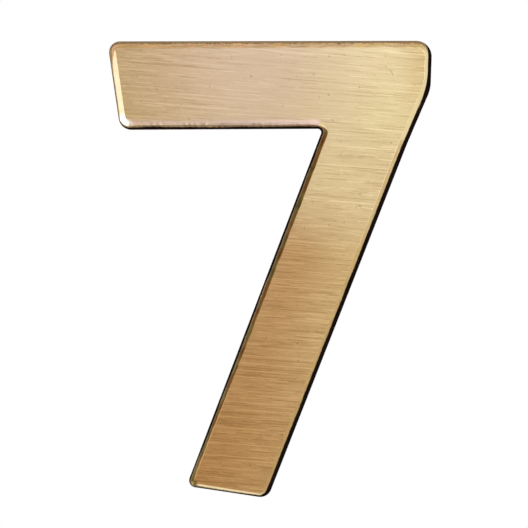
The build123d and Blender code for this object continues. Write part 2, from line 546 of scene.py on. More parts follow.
@dataclass
class Numeral:
    """The seven: its section, stud holes and wear, and the skin made from them.

    Lengths are in millimetres and angles in degrees. The sizes down to the drill point are
    the casting's own, and the others those of its threads, rounded edges and wear.
    """

    outline: Outline = Outline()
    mesh: Mesh = Mesh()
    back_break: float = 0.2
    wall_height: float = 4.6
    draft: float = 6.0
    bevel_height: float = 0.9
    bevel_angle: float = 45.0
    face_fall_right: float = 0.18
    face_fall_down: float = 0.31
    stud_spacing: float = 40.0
    tapping_radius: float = 1.65
    thread_depth: float = 3.4
    mouth_break: float = 0.35
    drill_point: float = 118.0
    thread_pitch: float = 0.7
    thread_groove: float = 0.33  # depth past the tapping radius
    groove_slope: float = 1.25  # of a groove's sides, where 1 would fill the pitch
    groove_land: float = 0.12  # how much of that slope the land between grooves cuts off
    border_width: float = 0.7  # strip of the face that the rounded border may use
    back_roundness: float = 0.08
    least_round: float = 0.02  # reach that every rounded edge of the front has at least
    rim_share: float = 0.88  # of the bevel that the rim's rounding takes at most
    both_share: float = 0.94  # of the bevel that both roundings take at most
    strip_share: float = 0.9  # of the strip of face that the border's rounding takes at most
    rim_uneven: float = 0.3  # how much the rim's rounding varies
    border_uneven: float = 0.25
    stray_noise: tuple[tuple[int, int], int] = ((10, 160), 7)  # waves round the ring, and seed
    nick_noise: tuple[tuple[int, int], int] = ((20, 300), 3)
    rim_noise: tuple[tuple[int, int], int] = ((8, 90), 4)
    border_noise: tuple[tuple[int, int], int] = ((6, 60), 5)
    face_wave: float = 0.015  # unevenness of the ground face
    wave_lengths: tuple[float, float] = (7.0, 26.0)
    wave_seed: int = 11
    wave_start: float = 3.0  # distance from the border over which the waves grow

    def __post_init__(self) -> None:
        """Work out the values that several methods share."""
        self.normals, self.offsets = self.outline.lines()
        self.wall_inset = (self.wall_height - self.back_break) * tangent(self.draft)
        self.bevel_run = tangent(self.bevel_angle)
        self.fall = np.array([tangent(self.face_fall_right), -tangent(self.face_fall_down)])
        self.stud_height = -self.outline.arm_depth / 2.0
        low = self.stud_height - self.stud_spacing
        sides = [Edge.STEM_OUTER, Edge.STEM_INNER]
        across = (self.offsets[sides] - self.normals[sides, 1] * low) / self.normals[sides, 0]
        self.stud_place = np.array([np.mean(across), self.stud_height])

    def level_ring(self, inset: float, depth: float, elbow: float) -> np.ndarray:
        """Ring parallel to the back, in front of it by a depth and inside the widest outline."""
        points = meeting_points(self.normals, self.offsets + inset)
        radii = self.outline.shrunk_radii(np.full(len(Corner), inset), elbow)
        ring = rounded_ring(points, radii, self.mesh)
        return np.stack([ring[:, 0], np.full(len(ring), -depth), ring[:, 1]], axis=1)

    def face_depth(self, x: np.ndarray, z: np.ndarray) -> np.ndarray:
        """Depth of the ground face in front of the back: a plane that falls right and down."""
        return self.wall_height + self.bevel_height - self.fall[0] * x - self.fall[1] * z

    def face_ring(self, border: float) -> np.ndarray:
        """Ring on the ground face, inside the border where the bevel planes meet it.

        A bevel plane rises over its line as its distance from it divided by the bevel's
        run. Setting that equal to the face's height gives a line again, with the face's
        fall added to the normal.

        Args:
            border: Distance inside that border.

        Returns:
            The ring, points by three.
        """
        leaning = self.normals + self.bevel_run * self.fall
        lifted = self.offsets + self.wall_inset + self.bevel_run * self.bevel_height + border
        points = meeting_points(leaning, lifted)
        rise = self.face_depth(points[:, 0], points[:, 1]) - self.wall_height
        radii = self.outline.shrunk_radii(
            self.wall_inset + rise * self.bevel_run + border, self.outline.front_elbow_radius
        )
        ring = rounded_ring(points, radii, self.mesh)
        return np.stack([ring[:, 0], -self.face_depth(ring[:, 0], ring[:, 1]), ring[:, 1]], axis=1)

    def finish(self, name: str) -> np.ndarray:
        """One number of the edges' finishes, spread round the ring."""
        return along_edges([getattr(FINISHES[edge], name) for edge in Edge], self.mesh)[:, 0]

    def side_patch(self) -> Patch:
        """Skin from the back edge to the face: the profile carried along the outline.

        Returns:
            The patch. Its rim and border values are the distances up the profile from the
            rim and from the face's border.
        """
        elbow = self.outline.radii[Corner.ELBOW]
        back = self.level_ring(self.back_break, 0.0, elbow)
        widest = self.level_ring(0.0, self.back_break, elbow)
        rim = self.level_ring(self.wall_inset, self.wall_height, self.outline.front_elbow_radius)
        border = self.face_ring(0.0)
        inside = self.face_ring(self.border_width)
        steps = np.linalg.norm(np.roll(rim, -1, axis=0) - rim, axis=1)
        travelled = np.concatenate([[0.0], np.cumsum(steps)])
        place, length = travelled[:-1] / travelled[-1], travelled[-1]
        rim, border = self.worn_lines(rim, border, inside, place)
        bevel = np.linalg.norm(border - rim, axis=1)
        rim_round, border_round = self.roundings(bevel, place, length)
        reaches = [np.full(len(rim), self.back_roundness), rim_round, border_round]
        counts = [self.mesh.back_break, self.mesh.wall, self.mesh.bevel, self.mesh.border]
        rings = [back, widest, rim, border, inside]
        points = carried_profile(rings, reaches, counts, self.mesh.turn)
        up = self.distance_along(points, self.rim_row())
        same = self.ring_values(bevel, rim_round, place, length)
        values = np.concatenate(
            [
                np.where(up < 0.0, up * WALL_WEIGHT, up)[..., None],
                self.distance_along(points, self.border_row())[..., None],
                np.broadcast_to(same, (*points.shape[:2], same.shape[1])),
            ],
            axis=2,
        )
        return Patch(points, values, grid_quads(points.shape[0], points.shape[1], True)[:, ::-1])

    def worn_lines(
        self, rim: np.ndarray, border: np.ndarray, inside: np.ndarray, place: np.ndarray
    ) -> tuple[np.ndarray, np.ndarray]:
        """Let the border stray over the face, and nick the rim.

        A nick goes inwards and back along the line that halves the rim's angle.

        Args:
            rim: The true ring between wall and bevel.
            border: The true ring between bevel and face.
            inside: The ring on the face inside the border.
            place: Place of each ring point, from 0 to 1 round the outline.

        Returns:
            The worn rim and the worn border.
        """
        inwards = inside - border
        inwards /= np.linalg.norm(inwards, axis=1, keepdims=True)
        stray = ring_noise(place, *self.stray_noise) * self.finish("wobble") / 2.0
        border = border + inwards * (stray + self.finish("shift"))[:, None]
        nick = np.clip(ring_noise(place, *self.nick_noise), 0.0, 2.0) / 2.0 * self.finish("nick")
        inwards[:, 1] += tangent(self.bevel_angle / 2.0)
        return rim + inwards * nick[:, None], border

    def roundings(
        self, bevel: np.ndarray, place: np.ndarray, length: float
    ) -> tuple[np.ndarray, np.ndarray]:
        """Reach of the rounding of the rim and of the border, as far as the bevel has room.

        Args:
            bevel: Width of the bevel at each ring point.
            place: Place of each ring point, from 0 to 1 round the outline.
            length: The whole way round.

        Returns:
            The reach at the rim and the reach at the border.
        """
        rim = 1.0 + self.rim_uneven * ring_noise(place, *self.rim_noise)
        rim = self.finish("rim_round") * rim + self.near_corners("rim_round", place, length)
        rim = np.clip(rim, self.least_round, self.rim_share * bevel)
        border = 1.0 + self.border_uneven * ring_noise(place, *self.border_noise)
        most = np.minimum(self.both_share * bevel - rim, self.strip_share * self.border_width)
        return rim, np.clip(self.finish("border_round") * border, self.least_round, most)

    def ring_values(
        self, bevel: np.ndarray, rim_round: np.ndarray, place: np.ndarray, length: float
    ) -> np.ndarray:
        """What the material reads that is the same all the way up the profile.

        Args:
            bevel: Width of the bevel at each ring point.
            rim_round: Reach of the rim's rounding there.
            place: Place of each ring point, from 0 to 1 round the outline.
            length: The whole way round.

        Returns:
            The columns of VALUES after the first two, then the clean bevel's colour with its
            painted reflection.
        """
        none = np.zeros(len(place))
        wear = {"haze": none, "rounded": rim_round, "back": none}
        for name in ("bare", "stain", "follow", "blur", "creep", "patchy"):
            wear[name] = self.finish(name)
        wear["stain"] = wear["stain"] * bevel**2
        for name in ("bare", "stain", "haze"):
            wear[name] = wear[name] + self.near_corners(name, place, length)
        # each edge's bevel colour, painted reflection included
        tones = along_edges([FINISHES[edge].bevel[:3] for edge in Edge], self.mesh)
        return np.column_stack([*(wear[name] for name in VALUES[2:]), tones])

    def near_corners(self, name: str, place: np.ndarray, length: float) -> np.ndarray:
        """Spread what wear adds at the corners over the ring near them.

        It is each corner's amount times e to the minus square of the distance from the
        middle of its arc, the shorter way round the ring, over its reach.

        Args:
            name: Which of the tables of wear.
            place: Place of each ring point, from 0 to 1 round the outline.
            length: The whole way round.

        Returns:
            The sum at each ring point.
        """
        travelled = place * length
        cells = np.array(self.mesh.edges()) + self.mesh.arc
        middles = np.concatenate([[0], np.cumsum(cells)[:-1]]) + self.mesh.arc // 2
        total = np.zeros(len(travelled))
        for corner, (amount, reach) in CORNER_WEAR[name].items():
            away = np.abs(travelled - travelled[middles[corner]])
            total += amount * np.exp(-((np.minimum(away, length - away) / reach) ** 2))
        return total

    def rim_row(self) -> int:
        """Row in the middle of the rounded edge between the wall and the bevel."""
        return self.mesh.back_break + self.mesh.turn + self.mesh.wall + self.mesh.turn // 2

    def border_row(self) -> int:
        """Row in the middle of the rounded edge between the bevel and the face."""
        return self.rim_row() + self.mesh.turn + self.mesh.bevel

    def distance_along(self, points: np.ndarray, row: int) -> np.ndarray:
        """Distance of each point from a row, up the profile, less than zero behind it."""
        steps = np.linalg.norm(np.diff(points, axis=0), axis=2)
        travelled = np.concatenate([np.zeros((1, points.shape[1])), np.cumsum(steps, axis=0)])
        return travelled - travelled[row]

    def front_patch(self, side: Patch) -> Patch:
        """The ground face: a ruled sheet with the faint unevenness of hand grinding.

        Args:
            side: The side patch, whose last row is the sheet's ring.

        Returns:
            The patch.
        """
        sheet = ruled_sheet(np.concatenate([side.points[-1], side.values[-1]], axis=1), self.mesh)
        points, values = sheet[..., :3].copy(), sheet[..., 3:].copy()
        x, z = points[..., 0], points[..., 2]
        lines = np.multiply.outer(x, self.normals[:, 0]) + np.multiply.outer(z, self.normals[:, 1])
        inset = lines - self.offsets
        outer = inset[..., [edge for edge in Edge if edge not in NOTCH]].min(axis=-1)
        notch = inset[..., NOTCH].max(axis=-1)
        rise = self.face_depth(x, z) - self.wall_height
        border = self.wall_inset + rise * self.bevel_run + self.border_width
        beyond = np.maximum(np.minimum(outer, notch) - border, 0.0)
        wave = plane_noise(x, z, self.wave_lengths, self.wave_seed) * self.face_wave
        wave *= smooth(beyond / self.wave_start)
        points[1:-1, 1:-1, 1] -= wave[1:-1, 1:-1]
        for column in (VALUES.index("rim"), VALUES.index("border")):
            values[..., column] += beyond
        return Patch(points, values, grid_quads(points.shape[0], points.shape[1], False))

    def back_patches(self, side: Patch) -> list[Patch]:
        """The flat back with its stud holes.

        Args:
            side: The side patch, whose first row is the back's ring.

        Returns:
            The sheet, with a square of cells left out round each hole, and each hole's skin.
        """
        sheet = ruled_sheet(side.points[0], self.mesh)
        rows, columns = sheet.shape[:2]
        kept = np.ones((rows - 1, columns - 1), bool)
        holes = []
        for drop in (0.0, self.stud_spacing):
            centre = self.stud_place - np.array([0.0, drop])
            away = np.hypot(sheet[..., 0] - centre[0], sheet[..., 2] - centre[1])
            row, column = np.unravel_index(np.argmin(away), away.shape)
            half = self.mesh.hole_half
            kept[row - half : row + half, column - half : column + half] = False
            block = sheet[row - half : row + half + 1, column - half : column + half + 1]
            loop = [block[:-1, 0], block[-1, :-1], block[:0:-1, -1], block[0, :0:-1]]
            holes.append(self.hole_patch(np.concatenate(loop), centre))
        quads = grid_quads(rows, columns, False)[kept.ravel()][:, ::-1]
        return [self.plain_patch(sheet, quads), *holes]

    def hole_patch(self, loop: np.ndarray, centre: np.ndarray) -> Patch:
        """Skin of one stud hole: back round its mouth, thread and drill point.

        On the back the points go straight from the loop to the mouth's circle. Down the
        hole the radius is the tapping radius plus the thread's groove, a clipped triangle
        wave of the depth over the pitch plus the share of a full turn, or the radius of
        the broken mouth where that is more. Past the thread it shrinks evenly to the tip.

        Args:
            loop: Points of the back round the hole, clockwise in the front view.
            centre: Place of the hole's axis.

        Returns:
            The patch, with a quad that has no area at each point of the tip.
        """
        across, up = loop[:, 0] - centre[0], loop[:, 2] - centre[1]
        angle = np.arctan2(up, -across)
        away = np.hypot(across, up)
        mouth = self.tapping_radius + self.mouth_break
        share = np.linspace(0.0, 1.0, self.mesh.hole_ring + 1)[:, None]
        flat = away + (mouth - away) * share
        depth = np.linspace(0.0, self.thread_depth, self.mesh.thread_rings + 1)[1:, None]
        phase = (depth / self.thread_pitch + angle / (2.0 * np.pi)) % 1.0
        groove = self.groove_slope * (1.0 - np.abs(2.0 * phase - 1.0)) - self.groove_land
        groove = np.clip(groove, 0.0, 1.0)
        groove *= self.thread_groove * smooth((self.thread_depth - depth) / self.thread_pitch)
        thread = np.maximum(self.tapping_radius + groove, mouth - depth)
        point = self.tapping_radius / tangent(self.drill_point / 2.0)
        tip_share = np.linspace(0.0, 1.0, self.mesh.tip_rings + 1)[1:, None]
        tip = self.tapping_radius * (1.0 - tip_share) * np.ones_like(angle)
        radius = np.concatenate([flat, thread, tip])
        deep = np.concatenate([np.zeros_like(share), depth, self.thread_depth + point * tip_share])
        x = centre[0] - radius * np.cos(angle)
        z = centre[1] + radius * np.sin(angle)
        points = np.stack([x, -deep * np.ones_like(radius), z], axis=-1)
        points[0] = loop
        return self.plain_patch(points, grid_quads(points.shape[0], points.shape[1], True))

    def plain_patch(self, points: np.ndarray, quads: np.ndarray) -> Patch:
        """Patch on the back, with the rim and the face's border far away."""
        far = {"rim": -1.0, "border": -2.0, "blur": 1.0, "back": 1.0}
        same = [far.get(name, 0.0) for name in VALUES] + list(FINISHES[Edge.TOP].bevel[:3])
        return Patch(points, np.broadcast_to(same, (*points.shape[:2], len(same))), quads)

    def build(self) -> bpy.types.Object:
        """Join the patches into one closed skin and put it in the scene.

        Points that patches share are bit for bit the same or nearly so, and are merged by
        rounding them to a tenth of a micrometre. A quad on a hole's tip becomes a triangle.

        Returns:
            The figure's object, at the origin, in metres.
        """
        side = self.side_patch()
        patches = [side, self.front_patch(side), *self.back_patches(side)]
        starts = np.cumsum([0] + [len(patch.points.reshape(-1, 3)) for patch in patches[:-1]])
        points = np.concatenate([patch.points.reshape(-1, 3) for patch in patches])
        quads = np.concatenate([patch.quads + start for patch, start in zip(patches, starts)])
        _, first, merged = np.unique(
            np.round(points, 4), axis=0, return_index=True, return_inverse=True
        )
        used, numbers = np.unique(merged.ravel()[quads], return_inverse=True)
        first, quads = first[used], numbers.reshape(-1, 4)
        shift = np.array([self.stud_place[0], 0.0, self.stud_place[1]])
        data = bpy.data.meshes.new("seven_skin")
        data.from_pydata((points[first] - shift) * MM, [], self.without_doubles(quads))
        columns = len(VALUES) + 3
        values = np.concatenate([patch.values.reshape(-1, columns) for patch in patches])[first]
        values = values.astype(np.float32)
        for name, column in zip(VALUES, values.T):
            layer = data.attributes.new(name, "FLOAT", "POINT")
            layer.data.foreach_set("value", np.ascontiguousarray(column))
        tones = np.column_stack([values[:, len(VALUES) :], np.ones(len(values), np.float32)])
        layer = data.attributes.new("bevel", "FLOAT_COLOR", "POINT")
        layer.data.foreach_set("color", tones.ravel())
        data.validate()
        data.polygons.foreach_set("use_smooth", np.ones(len(data.polygons), bool))
        data.set_sharp_from_angle(angle=math.radians(SHARP_ANGLE))
        data.update()
        return in_scene("seven", data)

    def without_doubles(self, quads: np.ndarray) -> list[list[int]]:
        """Faces as lists of corner numbers, with a corner that repeats its neighbour left out."""
        repeats = quads == np.roll(quads, 1, axis=1)
        whole = quads[~repeats.any(axis=1)].tolist()
        pinched = quads[repeats.sum(axis=1) == 1]
        kept = ~(pinched == np.roll(pinched, 1, axis=1))
        return whole + pinched[kept].reshape(-1, 3).tolist()


Settings = dict[str, Any]
Inputs = dict[str | int, Any]
Point = tuple[Any, Any, Any]  # of values or numbers


class Value:
    """A shader socket that is used in Python expressions, which add Math nodes."""

    def __init__(self, graph: "Graph", socket: bpy.types.NodeSocket) -> None:
        """Keep the socket and the graph that it belongs to."""
        self.graph = graph
        self.socket = socket

    def __add__(self, other: "Value | float") -> "Value":
        """Sum."""
        return self.graph.maths("ADD", self, other)

    def __sub__(self, other: "Value | float") -> "Value":
        """Difference."""
        return self.graph.maths("SUBTRACT", self, other)

    def __rsub__(self, other: float) -> "Value":
        """Difference from a number."""
        return self.graph.maths("SUBTRACT", other, self)

    def __mul__(self, other: "Value | float") -> "Value":
        """Product."""
        return self.graph.maths("MULTIPLY", self, other)

    def __truediv__(self, other: "Value | float") -> "Value":
        """Quotient."""
        return self.graph.maths("DIVIDE", self, other)

    __radd__ = __add__
    __rmul__ = __mul__


class Graph:
    """Node tree of one material or world, filled by expressions."""

    def __init__(self, tree: bpy.types.NodeTree) -> None:
        """Take the tree and empty it."""
        self.tree = tree
        self.tree.nodes.clear()

    def node(self, kind: str, settings: Settings, inputs: Inputs) -> bpy.types.Node:
        """Add a node.

        Args:
            kind: The node's type.
            settings: Its settings, set first.
            inputs: Numbers, colours or values for its sockets, by name or number.

        Returns:
            The node.
        """
        made = self.tree.nodes.new(kind)
        for name, setting in settings.items():
            setattr(made, name, setting)
        for key, given in inputs.items():
            if isinstance(given, Value):
                self.tree.links.new(given.socket, made.inputs[key])
            else:
                made.inputs[key].default_value = given
        return made

    def value(
        self, kind: str, settings: Settings, inputs: Inputs, output: str | int = 0
    ) -> Value:
        """Add a node and take one of its outputs."""
        return Value(self, self.node(kind, settings, inputs).outputs[output])

    def maths(self, operation: str, a: "Value | float", b: "Value | float") -> Value:
        """Add a Math node on two values."""
        return self.value("ShaderNodeMath", {"operation": operation}, {0: a, 1: b})

    def step(self, value: Value, start: float, end: float) -> Value:
        """Ease from 0 to 1 while the value goes from start to end."""
        inputs = {"Value": value, "From Min": start, "From Max": end}
        return self.value("ShaderNodeMapRange", {"interpolation_type": "SMOOTHSTEP"}, inputs)

    def fade(self, value: Value, start: float, end: float) -> Value:
        """Ease from 1 to 0 while the value goes from start to end."""
        return 1.0 - self.step(value, start, end)

    def blend(self, factor: "Value | float", a: Any, b: Any) -> Value:
        """Mix two colours."""
        return self.value("ShaderNodeMix", {"data_type": "RGBA"}, {0: factor, 6: a, 7: b}, 2)

    def noise(self, place: Value, scale: float, detail: float, roughness: float = 0.5) -> Value:
        """Noise from 0 to 1 over a place."""
        inputs = {"Vector": place, "Scale": scale, "Detail": detail, "Roughness": roughness}
        return self.value("ShaderNodeTexNoise", {}, inputs)

    def noise_at(self, point: Point, detail: float, roughness: float = 0.5) -> Value:
        """Noise from 0 to 1 over a point of three values."""
        return self.noise(self.vector(*point), 1.0, detail, roughness)

    def patches(
        self, point: Point, detail: float, start: float, end: float, roughness: float = 0.5
    ) -> Value:
        """Soft-edged patches, 1 where the noise at a point is over end and 0 under start."""
        return self.step(self.noise_at(point, detail, roughness), start, end)

    def dot(self, place: Value, direction: Triple) -> Value:
        """Distance along a direction."""
        inputs = {0: place, 1: direction}
        return self.value("ShaderNodeVectorMath", {"operation": "DOT_PRODUCT"}, inputs, "Value")

    def length(self, vector: Value) -> Value:
        """Length of a vector."""
        return self.value("ShaderNodeVectorMath", {"operation": "LENGTH"}, {0: vector}, "Value")

    def vector(self, x: "Value | float", y: "Value | float", z: "Value | float") -> Value:
        """Vector of three values."""
        return self.value("ShaderNodeCombineXYZ", {}, {0: x, 1: y, 2: z})

    def times(self, a: "Value | Colour", b: "Value | Colour | Triple") -> Value:
        """Multiply two colours or vectors, channel by channel."""
        a, b = (given if isinstance(given, Value) else given[:3] for given in (a, b))
        return self.value("ShaderNodeVectorMath", {"operation": "MULTIPLY"}, {0: a, 1: b})

    def attribute(self, name: str, output: str = "Fac") -> Value:
        """A value that the mesh holds for each point."""
        return self.value("ShaderNodeAttribute", {"attribute_name": name}, {}, output)

    def scale(self, vector: "Value | Colour", factor: "Value | float") -> Value:
        """Multiply a vector or a colour by a number."""
        inputs = {0: vector if isinstance(vector, Value) else vector[:3], "Scale": factor}
        return self.value("ShaderNodeVectorMath", {"operation": "SCALE"}, inputs)


@dataclass(frozen=True)
class Spot:
    """Point that the material colours: its place in millimetres and the mesh's values there."""

    graph: Graph
    place: Value
    x: Value  # to the right of the upper stud hole
    z: Value  # up from it
    rim: Value  # this and the others are the numbers that VALUES lists
    border: Value
    bare: Value
    stain: Value
    follow: Value
    blur: Value
    creep: Value
    patchy: Value
    haze: Value
    rounded: Value
    back: Value

    @classmethod
    def read(cls, graph: Graph) -> "Spot":
        """Read the point from the object's coordinates and its mesh."""
        place = graph.scale(graph.value("ShaderNodeTexCoord", {}, {}, "Object"), 1.0 / MM)
        x, z = graph.dot(place, (1.0, 0.0, 0.0)), graph.dot(place, (0.0, 0.0, 1.0))
        return cls(graph, place, x, z, **{name: graph.attribute(name) for name in VALUES})

    def lower(self, start: float, end: float) -> Value:
        """Ease from 0 to 1 between two drops below the upper stud hole."""
        return self.graph.step(self.z * -1.0, start, end)


@dataclass(frozen=True)
class Tint:
    """Round patch on the bevel with a colour of its own, a stain or a painted highlight, in
    millimetres.
    """

    x: float
    z: float
    full: float  # radius within which the colour is pure
    reach: float  # radius where it ends
    colour: Colour
    on_face: float = 0.0  # how much of it the face takes too

    def over(self, at: Spot, below: Value, face: Value) -> Value:
        """Lay the patch over a colour, on the face less than on the bevel."""
        graph = at.graph
        away = graph.length(graph.vector(at.x - self.x, 0.0, at.z - self.z))
        share = 1.0 - face * (1.0 - self.on_face)
        return graph.blend(graph.fade(away, self.full, self.reach) * share, below, self.colour)


@dataclass(frozen=True)
class Scratch:
    """Short straight scratch in the face, in millimetres from the upper stud hole."""

    x: float
    z: float
    degrees: float  # which way it runs, from the right towards up
    reach: float  # half its length
    width: float
    shade: float  # how much lighter it is, less than zero for darker


@dataclass(frozen=True)
class Dashes:
    """Straight brushed lines with soft ends, end to end in rows, each row shifted at random."""

    length: float  # of a line, in millimetres
    pitch: float  # from row to row
    width: float  # of a line
    weight: float  # shade of the strongest line
    start: float  # where in the endless rows the figure lies, so that layers differ

    def shade(self, graph: Graph, along: Value, across: Value) -> Value:
        """Shade of the lines: most of them faint, a few strong, darker as often as lighter.

        Args:
            graph: The material's nodes.
            along: Place along the strokes, in millimetres.
            across: Place across them.

        Returns:
            The shade, between minus and plus the weight.
        """
        rows = across * (1.0 / self.pitch) + self.start
        row = graph.maths("FLOOR", rows, 0.0)
        kind = "ShaderNodeTexWhiteNoise"
        shift = graph.value(kind, {"noise_dimensions": "1D"}, {"W": row}, "Value")
        cells = along * (1.0 / self.length) + shift * 9.0
        cell = graph.maths("FLOOR", cells, 0.0)
        spot = graph.vector(row, cell, 0.0)
        picked = graph.value(kind, {"noise_dimensions": "2D"}, {"Vector": spot}, "Color")
        strength = graph.dot(picked, (2.0, 0.0, 0.0)) - 1.0  # from -1 to 1
        middle = graph.dot(picked, (0.0, 0.4, 0.0)) + 0.3  # from 0.3 to 0.7 of the row
        ends = graph.step(cells - cell, 0.0, 0.2) * graph.fade(cells - cell, 0.8, 1.0)
        off = graph.maths("ABSOLUTE", rows - row - middle, 0.0) * self.pitch
        thin = graph.fade(off, self.width * 0.1, self.width)
        return strength * strength * strength * ends * thin * self.weight


@dataclass(frozen=True)
class AgedBrass:
    """Brass casting: brushed face, rubbed bevel, brown stain and dark oxide on the sides, with
    painted reflections and highlights in the colours of face and bevel.

    The bare numbers in the methods are places and distances in millimetres, scales and
    offsets of noise in cells a millimetre, levels of noise and shares, both from 0 to 1.
    """

    # Face colours are partly the metal's tone and partly painted reflection: brightest at the
    # elbow, darker towards the arm's end and the foot, lighter on the stem's outer side
    arm_end: Colour = colour(187, 156, 110)
    arm: Colour = colour(210, 184, 155)
    elbow: Colour = colour(226, 206, 160)
    elbow_side: Colour = colour(214, 189, 138)
    stem: Colour = colour(217, 193, 150)
    lower_stem: Colour = colour(185, 145, 100)
    foot: Colour = colour(172, 128, 80)
    outer_side: Colour = colour(207, 178, 127)
    lower_face_painted_shade: Colour = (0.98, 0.98, 0.94, 1.0)  # painted shade: multiplies the face's colour below the arm, a little darker
    arm_top_painted_sheen: Colour = (1.03, 1.03, 1.06, 1.0)  # painted sheen: and along the arm's top, a little lighter and whiter
    groove: Colour = (0.80, 0.76, 0.70, 1.0)  # what a deep stroke leaves of the face's colour
    ridge: Colour = (1.20, 1.235, 1.29, 1.0)
    stain: Colour = colour(103, 66, 26)
    olive_stain: Colour = colour(102, 84, 40)  # patches of it, and all of it near the foot
    rubbed: Colour = colour(142, 122, 96)  # the thin line in it along the rim
    gilt: Colour = colour(206, 160, 108)  # the rim where it is worn round
    flush: Colour = (1.15, 0.86, 0.80, 1.0)  # orange bloom on the bevels
    olive: Colour = (0.95, 1.04, 0.74, 1.0)  # and greenish patches there
    lilac: Colour = colour(227, 198, 186)  # haze near the inner corner
    glint: Colour = (1.26, 1.20, 1.26, 1.0)  # painted highlight: what the painted light line does to the colour below it
    pit: Colour = colour(112, 82, 50)
    worn: Colour = colour(158, 130, 92)
    shaded: Colour = colour(122, 94, 60)
    oxide: Colour = colour(24, 16, 14)
    back: Colour = colour(156, 124, 80)
    back_stain: Colour = colour(126, 96, 60)
    cut: Colour = colour(214, 184, 122)
    stroke_rise: float = 0.082  # drop of the brushed strokes for each millimetre to the right
    stroke_turn: float = 0.00015  # how much flatter they get for each millimetre down
    stroke_sway: float = 0.08  # how far they wander from straight
    scratch_depth: float = 3.0  # weight of the scratches against the strokes
    bump_strength: float = 0.3
    bump_depth: float = 0.00002  # metres
    polish: float = 0.26  # roughness of the clean bevel
    dashes: tuple[Dashes, ...] = (
        Dashes(3.0, 0.27, 0.10, 0.56, 1.7),
        Dashes(8.0, 0.40, 0.11, 0.60, 5.3),
        Dashes(18.0, 0.60, 0.12, 0.66, 9.1),
    )
    # The first is a painted highlight round the arm's lower corner, the second sets the colour of
    # the highlight in the inner corner, the third is a painted reflection at the arm's top corner,
    # the last an olive stain at the foot's upper corner
    tints_and_painted_glints: tuple[Tint, ...] = (
        Tint(-24.3, -5.6, 0.20, 1.50, colour(250, 247, 236)),
        Tint(6.4, -6.2, 0.45, 1.3, colour(190, 170, 122)),
        Tint(-26.1, 6.3, 0.20, 1.0, colour(216, 164, 128)),
        Tint(-13.6, -61.0, 0.20, 0.8, colour(104, 87, 50), 1.0),
    )
    scratches: tuple[Scratch, ...] = (
        Scratch(15.8, 2.6, -34.0, 0.32, 0.15, -0.18),
        Scratch(16.65, 1.75, -56.0, 0.65, 0.16, -0.24),
        Scratch(17.1, 1.45, -60.0, 0.28, 0.14, 0.14),
        Scratch(8.5, -13.2, -87.0, 1.20, 0.13, -0.07),
        Scratch(11.3, -18.6, 75.0, 0.35, 0.13, -0.14),
        Scratch(11.7, -18.9, -60.0, 0.30, 0.13, 0.12),
        Scratch(-2.55, -38.55, 84.0, 0.22, 0.15, -0.18),
        Scratch(-3.05, -40.0, -8.0, 0.40, 0.14, -0.16),
        Scratch(-3.15, -41.3, -80.0, 0.25, 0.12, 0.10),
        Scratch(-21.7, 5.25, 20.0, 0.22, 0.22, -0.18),
        Scratch(-23.25, -2.6, -40.0, 0.22, 0.18, -0.16),
        Scratch(-21.65, -2.65, 60.0, 0.20, 0.18, -0.16),
        Scratch(7.6, -5.45, -35.0, 0.20, 0.22, -0.26),
        Scratch(11.65, 4.25, 5.0, 0.25, 0.18, -0.16),
        Scratch(12.05, 2.95, 60.0, 0.18, 0.18, -0.16),
        Scratch(11.8, -3.0, 30.0, 0.16, 0.18, -0.16),
        Scratch(15.7, 4.25, 80.0, 0.20, 0.18, -0.14),
        Scratch(20.1, -0.1, 45.0, 0.16, 0.18, -0.16),
    )

    def material(self) -> bpy.types.Material:
        """Build the material: polished metal, with a dull skin of oxide over the walls.

        Returns:
            The material, which reads the values that the mesh holds at its points.
        """
        made = bpy.data.materials.new("aged_brass_look")
        made.use_nodes = True
        graph = Graph(made.node_tree)
        at = Spot.read(graph)
        ragged = graph.noise(at.place, 2.6, 3.0, 0.7) - 0.5
        drift = graph.noise(at.place, 0.5, 1.0) - 0.5
        streak = graph.noise_at((at.x * 0.6, at.z * 0.6, at.rim * 7.0), 4.0, 0.7) - 0.5
        face = graph.step((at.border + at.creep + drift * at.blur * 2.0) / at.blur, -1.0, 1.0)
        lines = self.strokes(at)
        tone = self.tone(at)
        low, high = graph.times(tone, self.groove), graph.times(tone, self.ridge)
        lit = graph.blend(self.specks(at), graph.blend(lines + 0.5, low, high), self.pit)
        metal = graph.blend(face, self.bevel_tone(at, tone, streak), lit)
        metal = self.worn_round(at, metal, ragged, streak)
        # stains and painted highlights over the colour
        for tint in self.tints_and_painted_glints:
            metal = tint.over(at, metal, face)
        climb = at.stain * (1.0 - at.lower(36.0, 54.0) * 0.3)
        stain = graph.fade(at.rim - climb + ragged * 0.26, -0.05, 0.05) * (1.0 - face)
        metal = graph.blend(stain, metal, self.stain_tone(at, ragged, drift, streak))
        # painted highlight line along the border on the right
        metal = self.paint_border_highlight(at, metal, ragged)
        metal = graph.blend(at.back, metal, self.back_tone(at))
        height = lines * face
        relief = {"Strength": self.bump_strength, "Distance": self.bump_depth, "Height": height}
        polished = {
            "Base Color": metal,
            "Metallic": 1.0,
            "Roughness": self.polish + face * 0.12 + stain * 0.15 + at.back * 0.2,
            "Normal": graph.value("ShaderNodeBump", {}, relief, "Normal"),
        }
        start = graph.maths("MINIMUM", at.bare, 0.02)
        skin = graph.fade(at.rim + start + ragged * 0.06, -0.03, 0.03)
        oxidised = {
            "Base Color": graph.blend(skin, metal, self.wall_colour(at)),
            "Metallic": 0.0,
            "Roughness": 0.9,
            "Specular IOR Level": 0.0,
        }
        brass = graph.value("ShaderNodeBsdfPrincipled", {}, polished)
        dull = graph.value("ShaderNodeBsdfPrincipled", {}, oxidised)
        dulled = graph.maths("MAXIMUM", skin, at.haze * (1.0 - face)) * (1.0 - at.back)
        both = graph.value("ShaderNodeMixShader", {}, {0: dulled, 1: brass, 2: dull})
        graph.node("ShaderNodeOutputMaterial", {}, {"Surface": both})
        return made

